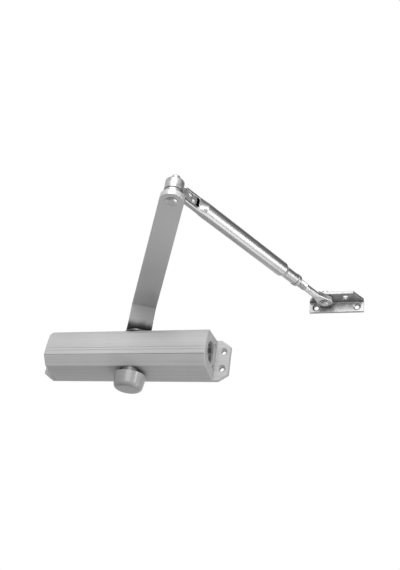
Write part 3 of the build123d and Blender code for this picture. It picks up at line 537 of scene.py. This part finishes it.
# Piston. A ground steel plunger with the rack cut in its side, a brass check valve in its crown and a
# rubber ring around it, all running in oil.
piston_steel = finish_material(
    "ground piston steel",
    {"Color": (0.56, 0.55, 0.53), "Second Color": (0.44, 0.43, 0.41), "Edge Color": (0.7, 0.7, 0.69),
     "Corner Color": (0.1, 0.08, 0.05), "Roughness": 0.2, "Roughness Change": 0.15, "Cloud Scale": 60.0,
     "Line Strength": 1.0, "Grain Scale": 5000.0, "Grain Strength": 0.2},
    turned(middle("rack_piston"), axis="X"), bump_mm=0.005, metallic=1.0, edge_mm=0.3)
dress(piston_steel, "rack_piston")
valve_brass = finish_material(
    "turned brass",
    {"Color": (0.68, 0.48, 0.2), "Second Color": (0.5, 0.34, 0.13), "Edge Color": (0.8, 0.6, 0.3),
     "Corner Color": (0.15, 0.09, 0.03), "Roughness": 0.28, "Roughness Change": 0.2, "Cloud Scale": 200.0,
     "Line Strength": 1.0, "Grain Scale": 5000.0, "Grain Strength": 0.3},
    turned(middle("piston_check_valve"), axis="X"), bump_mm=0.005, metallic=1.0, edge_mm=0.2)
dress(valve_brass, "piston_check_valve")
dress(seal_rubber, "piston_ring")

# Return spring. Cold-wound spring steel wire, blued by its tempering and wet with oil. It is pressed
# together between the left plug and the piston, and a copy of its solid takes its place.
merge_distance = 1e-6
sharp_angle = math.radians(35.0)


def new_piece(name, shape, material):
    """Object from a filled bmesh, smooth but for its sharp edges, with one material."""
    for face in shape.faces:
        face.smooth = True
        face.material_index = 0
    for edge in shape.edges:
        edge.smooth = edge.calc_face_angle(math.pi) < sharp_angle
    mesh = bpy.data.meshes.new(name)
    shape.to_mesh(mesh)
    shape.free()
    if "custom_normal" in mesh.attributes:
        mesh.attributes.remove(mesh.attributes["custom_normal"])
    mesh.materials.append(material)
    piece = bpy.data.objects.new(name, mesh)
    bpy.context.scene.collection.objects.link(piece)
    return piece


spring_wire = finish_material(
    "tempered spring wire",
    {"Color": (0.2, 0.2, 0.22), "Second Color": (0.12, 0.12, 0.14), "Edge Color": (0.4, 0.4, 0.4),
     "Corner Color": (0.03, 0.02, 0.02), "Roughness": 0.3, "Roughness Change": 0.2, "Cloud Scale": 70.0,
     "Line Strength": 0.0, "Grain Scale": 3000.0, "Grain Strength": 0.6},
    no_lines, bump_mm=0.008, metallic=1.0, edge_mm=0.2)
spring_mesh = bmesh.new()
spring_mesh.from_mesh(cad_nodes["return_spring"].data)
bmesh.ops.remove_doubles(spring_mesh, verts=spring_mesh.verts, dist=merge_distance)
spring = new_piece("return_spring_piece", spring_mesh, spring_wire)
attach(spring, "housing")
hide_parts("return_spring")
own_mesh(spring)

# Spindle cap. A grey plastic cap moulded with a slight draft and a round lower edge, pushed over the
# lower end of the spindle to hide it.
cap_plastic = finish_material(
    "moulded grey plastic",
    {"Color": (0.29, 0.29, 0.29), "Second Color": (0.23, 0.23, 0.23), "Edge Color": (0.36, 0.36, 0.36),
     "Corner Color": (0.05, 0.05, 0.05), "Roughness": 0.28, "Roughness Change": 0.2, "Cloud Scale": 70.0,
     "Cloud Strength": 0.8, "Line Strength": 0.3, "Grain Scale": 2200.0, "Grain Strength": 0.9},
    turned(middle("spindle_cap"), marks=900.0), bump_mm=0.01, edge_mm=0.4)
dress(cap_plastic, "spindle_cap")

# Main arm. Flat steel bar bent twice beside the spindle, with both ends rounded and all edges broken,
# painted the same silver grey as the body. The paint is a little rippled along the bar.
arm_direction = -61.7
hub_shade_low = 0.031
hub_shade_high = 0.041
hub_shade_patch_scale = 75.0
hub_shade_rise = 0.007
looking_down = (-0.3, 0.0)


def painted_hub_shade(tree, place):
    """Painted shade on the faces of the lower bend that look down on the bearing nut and its seal, where
    that bend lies in shadow. Its upper border is uneven and leaves patches on the riser."""
    level = place_node(tree, "SeparateXYZ", {0: place}).outputs["Z"]
    patch_noise = noise(tree, place, hub_shade_patch_scale, detail=3.0, roughness=0.6)
    height = work_out(tree, "ADD", level, work_out(tree, "MULTIPLY", patch_noise, hub_shade_rise))
    normal = place_node(tree, "TexCoord").outputs["Normal"]
    facing = place_node(tree, "SeparateXYZ", {0: normal}).outputs["Z"]
    low = work_out(tree, "SUBTRACT", 1.0, ramp(tree, height, hub_shade_low, hub_shade_high))
    down = work_out(tree, "SUBTRACT", 1.0, ramp(tree, facing, *looking_down))
    return work_out(tree, "MULTIPLY", low, down)


# Its corner colour is near black, so its corners and gaps take strong painted shade.
arm_paint = finish_material(
    "arm silver paint",
    {"Color": (0.53, 0.53, 0.53), "Second Color": (0.45, 0.45, 0.45), "Edge Color": (0.66, 0.66, 0.65),
     "Corner Color": (0.03, 0.03, 0.03), "Roughness": 0.36, "Roughness Change": 0.15, "Cloud Scale": 25.0,
     "Cloud Strength": 0.6, "Line Strength": 0.5, "Grain Scale": 1800.0, "Grain Strength": 0.7,
     "Corner Strength": 0.95},
    drawn(along=25.0, across=250.0, turned_degrees=arm_direction), bump_mm=0.015, metallic=0.5,
    edge_mm=0.7, darkening=painted_hub_shade)
dress(arm_paint, "main_arm")

# Arm screw. A zinc-plated steel socket screw with a flat washer, screwed into the top of the spindle to
# clamp the main arm on its upper square.
small_zinc_look = {
    "Color": (0.5, 0.5, 0.5), "Second Color": (0.3, 0.3, 0.3), "Edge Color": (0.7, 0.7, 0.7),
    "Corner Color": (0.05, 0.05, 0.05), "Roughness": 0.3, "Roughness Change": 0.25, "Cloud Scale": 180.0,
    "Cloud Strength": 0.9, "Line Strength": 0.9, "Grain Scale": 4000.0, "Grain Strength": 0.4,
    "Corner Strength": 0.9,
}
arm_screw_zinc = finish_material("zinc arm screw", small_zinc_look, turned(spindle_centre),
                                 bump_mm=0.008, metallic=1.0, edge_mm=0.3)
dress(arm_screw_zinc, "arm_screw", "arm_screw_washer")

# Elbow pin, nut and washers. The pin's head sits flush under the arm, two thick washers carry the knuckle,
# and a small domed nut closes the joint on top. All are bright zinc, with thin bands of painted shade at
# the foot of the lower washer and of the knuckle, and painted shade in corners reaching further.
joint_band_reach = 0.0007
joint_band_fade = 0.0006


def joint_band_group():
    """Node group: mask of thin bands of painted shade at the foot of the lower washer and the knuckle."""
    group, given, made = new_group("joint shade bands", (
        ("Vector", "Vector", (0.0, 0.0, 0.0)),
        ("Washer Height", "Float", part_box("lower_elbow_washer")[0][2]),
        ("Knuckle Height", "Float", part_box("elbow_knuckle")[0][2]),
        ("Full Distance", "Float", joint_band_reach - joint_band_fade),
        ("Clear Distance", "Float", joint_band_reach + joint_band_fade),
    ), (("Mask", "Float"),))
    level = place_node(group, "SeparateXYZ", {0: given["Vector"]}).outputs["Z"]
    mask = 0.0
    for joint_height in (given["Washer Height"], given["Knuckle Height"]):
        away = work_out(group, "ABSOLUTE", work_out(group, "SUBTRACT", level, joint_height))
        clear = ramp(group, away, given["Full Distance"], given["Clear Distance"])
        mask = work_out(group, "MAXIMUM", work_out(group, "SUBTRACT", 1.0, clear), mask)
    fill(group, made["Mask"], mask)
    return group


joint_bands = joint_band_group()


def joint_shade(tree, place):
    """Painted shade along the elbow joints."""
    return place_node(tree, "Group", {"Vector": place}, node_tree=joint_bands).outputs["Mask"]


elbow_zinc = finish_material("zinc elbow pieces", small_zinc_look, turned(middle("elbow_pin")),
                             bump_mm=0.005, metallic=1.0, edge_mm=0.3, corner_mm=3.0, darkening=joint_shade)
dress(elbow_zinc, "elbow_pin", "elbow_nut", "lower_elbow_washer", "upper_elbow_washer")

# Elbow knuckle and rivets. A small steel forging with a tongue that two rivets hold in the flattened
# end of the tube, tumbled and zinc plated.
# The knuckle takes the same painted shade at its foot, and painted shade in corners reaching further.
knuckle_zinc = finish_material(
    "zinc on a forging",
    {"Color": (0.5, 0.5, 0.5), "Second Color": (0.28, 0.28, 0.28), "Edge Color": (0.7, 0.7, 0.7),
     "Corner Color": (0.03, 0.03, 0.03), "Roughness": 0.4, "Roughness Change": 0.3, "Cloud Scale": 150.0,
     "Cloud Strength": 1.2, "Line Strength": 0.4, "Grain Scale": 1500.0, "Grain Strength": 0.7,
     "Corner Strength": 0.9},
    turned(middle("elbow_nut"), marks=1500.0), bump_mm=0.01, metallic=1.0, corner_mm=3.0,
    darkening=joint_shade)
dress(knuckle_zinc, "elbow_knuckle", "knuckle_rivets")

# Forearm tube. Drawn steel tube, pressed open to a trough at the elbow and reduced at the other end,
# with a ring at its mouth. The bright zinc shows the drawing lines.
forearm_direction = 65.499
tube_zinc = finish_material(
    "bright zinc tube",
    {"Color": (0.42, 0.42, 0.42), "Second Color": (0.29, 0.29, 0.29), "Edge Color": (0.6, 0.6, 0.6),
     "Corner Color": (0.1, 0.1, 0.1), "Roughness": 0.33, "Roughness Change": 0.12, "Cloud Scale": 40.0,
     "Cloud Strength": 0.5, "Line Strength": 0.9, "Grain Scale": 2500.0, "Grain Strength": 0.1,
     "Corner Strength": 0.3},
    drawn(along=1.5, across=350.0, turned_degrees=forearm_direction), bump_mm=0.0006, metallic=1.0,
    edge_mm=0.4)
dress(tube_zinc, "forearm_tube", "tube_end_ring")

# Adjusting rod. A steel rod, threaded where it screws into the tube and hammered flat to an eye at the
# shoe, zinc plated. A copy of its solid is cut down to the root of the thread, and the ridge wound on it.
elbow_place = Vector((0.129789, -0.251544, 0.0711))
thread_start = 0.160
thread_end = 0.219
thread_radius = 0.00492
root_radius = 0.0043
thread_pitch = 0.0015
ridge_foot_share = 0.8
ridge_top_share = 0.2
points_per_turn = 24
rod_zinc = finish_material(
    "zinc rod",
    {"Color": (0.52, 0.52, 0.52), "Second Color": (0.38, 0.38, 0.38), "Edge Color": (0.7, 0.7, 0.7),
     "Corner Color": (0.05, 0.05, 0.05), "Roughness": 0.3, "Roughness Change": 0.25, "Cloud Scale": 120.0,
     "Cloud Strength": 1.0, "Line Strength": 0.7, "Grain Scale": 2500.0, "Grain Strength": 0.4,
     "Corner Strength": 0.9},
    drawn(along=8.0, across=500.0, turned_degrees=forearm_direction), bump_mm=0.002, metallic=1.0,
    edge_mm=0.2)


def thread_tree():
    """Geometry nodes: a trapezoid ridge swept along a spiral about Z, its foot and top as shares of the
    pitch."""
    tree = bpy.data.node_groups.new("thread ridge", "GeometryNodeTree")
    for name in ("Pitch", "Length", "Root Radius", "Crest Radius", "Foot Share", "Top Share"):
        tree.interface.new_socket(name=name, in_out="INPUT", socket_type="NodeSocketFloat")
    tree.interface.new_socket(name="Points per Turn", in_out="INPUT", socket_type="NodeSocketInt")
    tree.interface.new_socket(name="Material", in_out="INPUT", socket_type="NodeSocketMaterial")
    tree.interface.new_socket(name="Geometry", in_out="OUTPUT", socket_type="NodeSocketGeometry")
    given = tree.nodes.new("NodeGroupInput").outputs
    depth = work_out(tree, "SUBTRACT", given["Crest Radius"], given["Root Radius"])
    both_radii = work_out(tree, "ADD", given["Crest Radius"], given["Root Radius"])
    middle_radius = work_out(tree, "DIVIDE", both_radii, 2.0)
    spiral = tree.nodes.new("GeometryNodeCurveSpiral")
    spiral.inputs["Reverse"].default_value = True  # a right-hand thread
    fill(tree, spiral.inputs["Resolution"], given["Points per Turn"])
    fill(tree, spiral.inputs["Rotations"], work_out(tree, "DIVIDE", given["Length"], given["Pitch"]))
    fill(tree, spiral.inputs["Start Radius"], middle_radius)
    fill(tree, spiral.inputs["End Radius"], middle_radius)
    fill(tree, spiral.inputs["Height"], given["Length"])
    level = tree.nodes.new("GeometryNodeSetCurveNormal")
    level.mode = "Z_UP"
    fill(tree, level.inputs["Curve"], spiral.outputs["Curve"])
    section = tree.nodes.new("GeometryNodeCurvePrimitiveQuadrilateral")
    section.mode = "TRAPEZOID"
    fill(tree, section.inputs["Height"], depth)
    foot = work_out(tree, "MULTIPLY", given["Pitch"], given["Foot Share"])
    top = work_out(tree, "MULTIPLY", given["Pitch"], given["Top Share"])
    fill(tree, section.inputs["Bottom Width"], foot)
    fill(tree, section.inputs["Top Width"], top)
    fill(tree, section.inputs["Offset"], 0.0)
    upright = tree.nodes.new("GeometryNodeTransform")
    fill(tree, upright.inputs["Geometry"], section.outputs["Curve"])
    upright.inputs["Rotation"].default_value = (0.0, 0.0, -math.pi / 2)
    swept = tree.nodes.new("GeometryNodeCurveToMesh")
    fill(tree, swept.inputs["Curve"], level.outputs["Curve"])
    fill(tree, swept.inputs["Profile Curve"], upright.outputs["Geometry"])
    swept.inputs["Fill Caps"].default_value = True
    plain = tree.nodes.new("GeometryNodeRealizeInstances")
    fill(tree, plain.inputs["Geometry"], swept.outputs["Mesh"])
    coloured = tree.nodes.new("GeometryNodeSetMaterial")
    fill(tree, coloured.inputs["Geometry"], plain.outputs["Geometry"])
    fill(tree, coloured.inputs["Material"], given["Material"])
    fill(tree, tree.nodes.new("NodeGroupOutput").inputs["Geometry"], coloured.outputs["Geometry"])
    return tree


ridge_maker = bpy.data.objects.new("thread_ridge", bpy.data.meshes.new("thread_ridge"))
bpy.context.scene.collection.objects.link(ridge_maker)
winding = ridge_maker.modifiers.new("thread", "NODES")
winding.node_group = thread_tree()
ridge_sizes = {
    "Pitch": thread_pitch, "Length": thread_end - thread_start - thread_pitch,
    "Root Radius": root_radius, "Crest Radius": thread_radius, "Foot Share": ridge_foot_share,
    "Top Share": ridge_top_share, "Points per Turn": points_per_turn, "Material": rod_zinc,
}
for item in winding.node_group.interface.items_tree:
    if item.in_out == "INPUT":
        winding[item.identifier] = ridge_sizes[item.name]
finished_ridge = ridge_maker.evaluated_get(bpy.context.evaluated_depsgraph_get())
ridge_mesh = bpy.data.meshes.new_from_object(finished_ridge)
bpy.data.objects.remove(ridge_maker)

along_rod = Matrix.Rotation(math.radians(forearm_direction), 4, "Z") @ Matrix.Rotation(math.pi / 2, 4, "Y")
rod_frame = Matrix.Translation(elbow_place) @ along_rod
rod_mesh = bmesh.new()
rod_mesh.from_mesh(cad_nodes["adjusting_rod"].data)
bmesh.ops.remove_doubles(rod_mesh, verts=rod_mesh.verts, dist=merge_distance)
rod_mesh.transform(rod_frame.inverted())
for vertex in rod_mesh.verts:
    radius = math.hypot(vertex.co.x, vertex.co.y)
    if thread_start <= vertex.co.z <= thread_end + merge_distance and radius > root_radius:
        vertex.co.x *= root_radius / radius
        vertex.co.y *= root_radius / radius
ridge_mesh.transform(Matrix.Translation((0.0, 0.0, thread_start + thread_pitch / 2)))
rod_mesh.from_mesh(ridge_mesh)
rod_mesh.transform(rod_frame)
rod = new_piece("adjusting_rod_piece", rod_mesh, rod_zinc)
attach(rod, "rod")
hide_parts("adjusting_rod")

# Shoe. An angle pressed from steel plate, with two pivot holes in its level leg and two screw holes in
# the upright one. Its zinc is duller and blotchy from the press.
shoe_zinc = finish_material(
    "dull zinc plate",
    {"Color": (0.42, 0.42, 0.42), "Second Color": (0.15, 0.15, 0.15), "Edge Color": (0.5, 0.5, 0.5),
     "Corner Color": (0.03, 0.03, 0.03), "Roughness": 0.45, "Roughness Change": 0.25, "Cloud Scale": 110.0,
     "Cloud Strength": 1.3, "Line Strength": 0.5, "Grain Scale": 1800.0, "Grain Strength": 0.3,
     "Corner Strength": 0.9},
    drawn(along=60.0, across=300.0), bump_mm=0.006, metallic=1.0)
dress(shoe_zinc, "shoe_bracket")

# Shoe pin. A headed steel pin through the shoe's level leg that carries the rod's eye under it. A thin
# washer and a low button close it below the eye, and all is bright zinc.
shoe_pin_zinc = finish_material("zinc shoe pin", small_zinc_look, turned(middle("shoe_pin")),
                                bump_mm=0.008, metallic=1.0, edge_mm=0.3)
dress(shoe_pin_zinc, "shoe_pin", "shoe_pin_washer")
